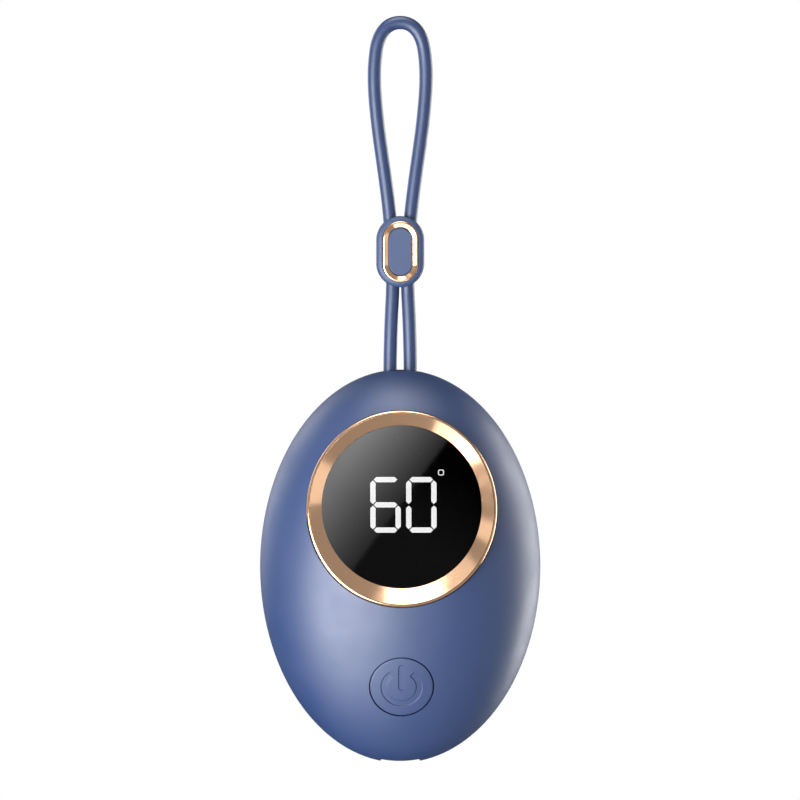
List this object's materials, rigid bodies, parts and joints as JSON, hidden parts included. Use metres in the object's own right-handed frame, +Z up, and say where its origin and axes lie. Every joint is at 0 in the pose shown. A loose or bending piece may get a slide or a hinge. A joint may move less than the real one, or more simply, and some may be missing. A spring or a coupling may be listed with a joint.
{
  "type": "rechargeable hand warmer",
  "caption": "Egg-shaped pocket hand warmer with a framed round temperature display, a power button, a charging socket and a cord loop with a sliding bead.",
  "frame": {"origin": "inner top of the cord loop, where it hangs", "axes": "+Z up along the hanging cord, display faces -Y, +X to the right seen from the front"},
  "size_m": [0.067, 0.0426, 0.1783],
  "materials": {
    "soft_touch_blue": "soft-touch satin",
    "silicone_blue": "satin silicone",
    "bead_blue": "satin",
    "rose_gold": "polished rose-gold anodising",
    "smoked_window": "smoked, glossy",
    "lit_bar": "lit",
    "unlit_bar": "unlit",
    "black_plastic": "moulded",
    "seal_rubber": "matte",
    "circuit_board": "black solder mask",
    "steel": "plated",
    "switch_stem": "moulded",
    "wire_cover": "silicone",
    "ferrite": "sintered",
    "capacitor_can": "drawn",
    "frame_plastic": "moulded",
    "cell_wrap": "foil pouch",
    "foam": "foam",
    "amber_film": "film",
    "bare_aluminium": "rolled",
    "bead_glass": "glass bead"
  },
  "bodies": {
    "case": {"front_shell": "soft_touch_blue", "rear_shell": "soft_touch_blue", "lanyard_cord": "silicone_blue", "lanyard_anchor": "silicone_blue", "bezel_ring": "rose_gold", "display_lens": "smoked_window", "lit_segments": "lit_bar", "unlit_segments": "unlit_bar", "display_module": "black_plastic", "tact_switch": "black_plastic", "usb_tongue": "black_plastic", "controller_chip": "black_plastic", "battery_plug": "black_plastic", "heater_plug": "black_plastic", "lens_gasket": "seal_rubber", "display_board": "circuit_board", "button_board": "circuit_board", "main_board": "circuit_board", "display_screws": "steel", "button_screws": "steel", "board_screws": "steel", "frame_screws": "steel", "usb_shell": "steel", "button_leads": "wire_cover", "display_leads": "wire_cover", "battery_leads": "wire_cover", "heater_leads": "wire_cover", "boost_inductor": "ferrite", "capacitors": "capacitor_can", "mid_frame": "frame_plastic", "battery_cell": "cell_wrap", "insulation_pad": "foam", "heater_film": "amber_film", "heat_spreader": "bare_aluminium", "thermistor": "bead_glass"},
    "button": {"power_button": "soft_touch_blue"},
    "plunger": {"switch_plunger": "switch_stem"},
    "slider": {"slider_body": "bead_blue", "slider_trim": "rose_gold"}
  },
  "joints": [
    {"name": "power_press", "type": "slide", "parent": "case", "child": "button", "axis": [0, 0.9259, 0.3777], "range_m": [0, 0.0005], "stiffness_N_per_m": 400},
    {"name": "plunger_press", "type": "slide", "parent": "case", "child": "plunger", "axis": [0, 0.9259, 0.3777], "range_m": [0, 0.0005]},
    {"name": "slider_slide", "type": "slide", "parent": "case", "child": "slider", "axis": [0, 0, 1], "range_m": [-0.019, 0]}
  ],
  "couplings": [
    {"joint": "plunger_press", "follows": "power_press", "ratio": 1}
  ]
}
